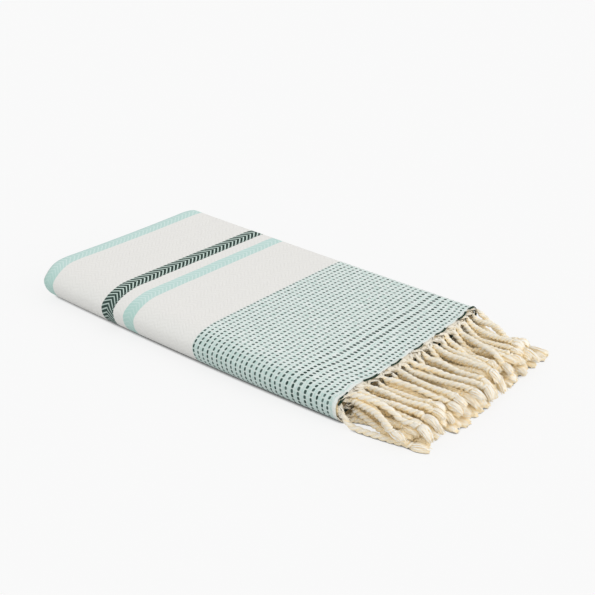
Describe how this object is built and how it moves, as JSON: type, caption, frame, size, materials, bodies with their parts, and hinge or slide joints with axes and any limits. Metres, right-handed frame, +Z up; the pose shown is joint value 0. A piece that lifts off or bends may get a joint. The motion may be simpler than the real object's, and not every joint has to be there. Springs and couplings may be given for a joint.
{
  "type": "folded hammam towel",
  "caption": "Flat-woven cotton bath towel with a dashed border, stripes and knotted fringes, folded into a flat stack.",
  "frame": {"origin": "on the surface it rests on, under the middle of the whole towel's box, fringes included", "axes": "+X from the crosswise folds to the fringes, +Y from the wide lengthwise fold to the far side, +Z up"},
  "size_m": [0.5472, 0.2684, 0.0433],
  "materials": {
    "woven_cotton": "matt flat-woven cotton, off-white with mint and dark green stripes and a pale mint dashed border",
    "fringe_cotton": "matt cream cotton yarn, twisted into cords with a knot and a loose brush at the end"
  },
  "bodies": {
    "root": {"cloth": "woven_cotton", "fringe_top": "fringe_cotton", "fringe_under": "fringe_cotton"}
  },
  "joints": []
}
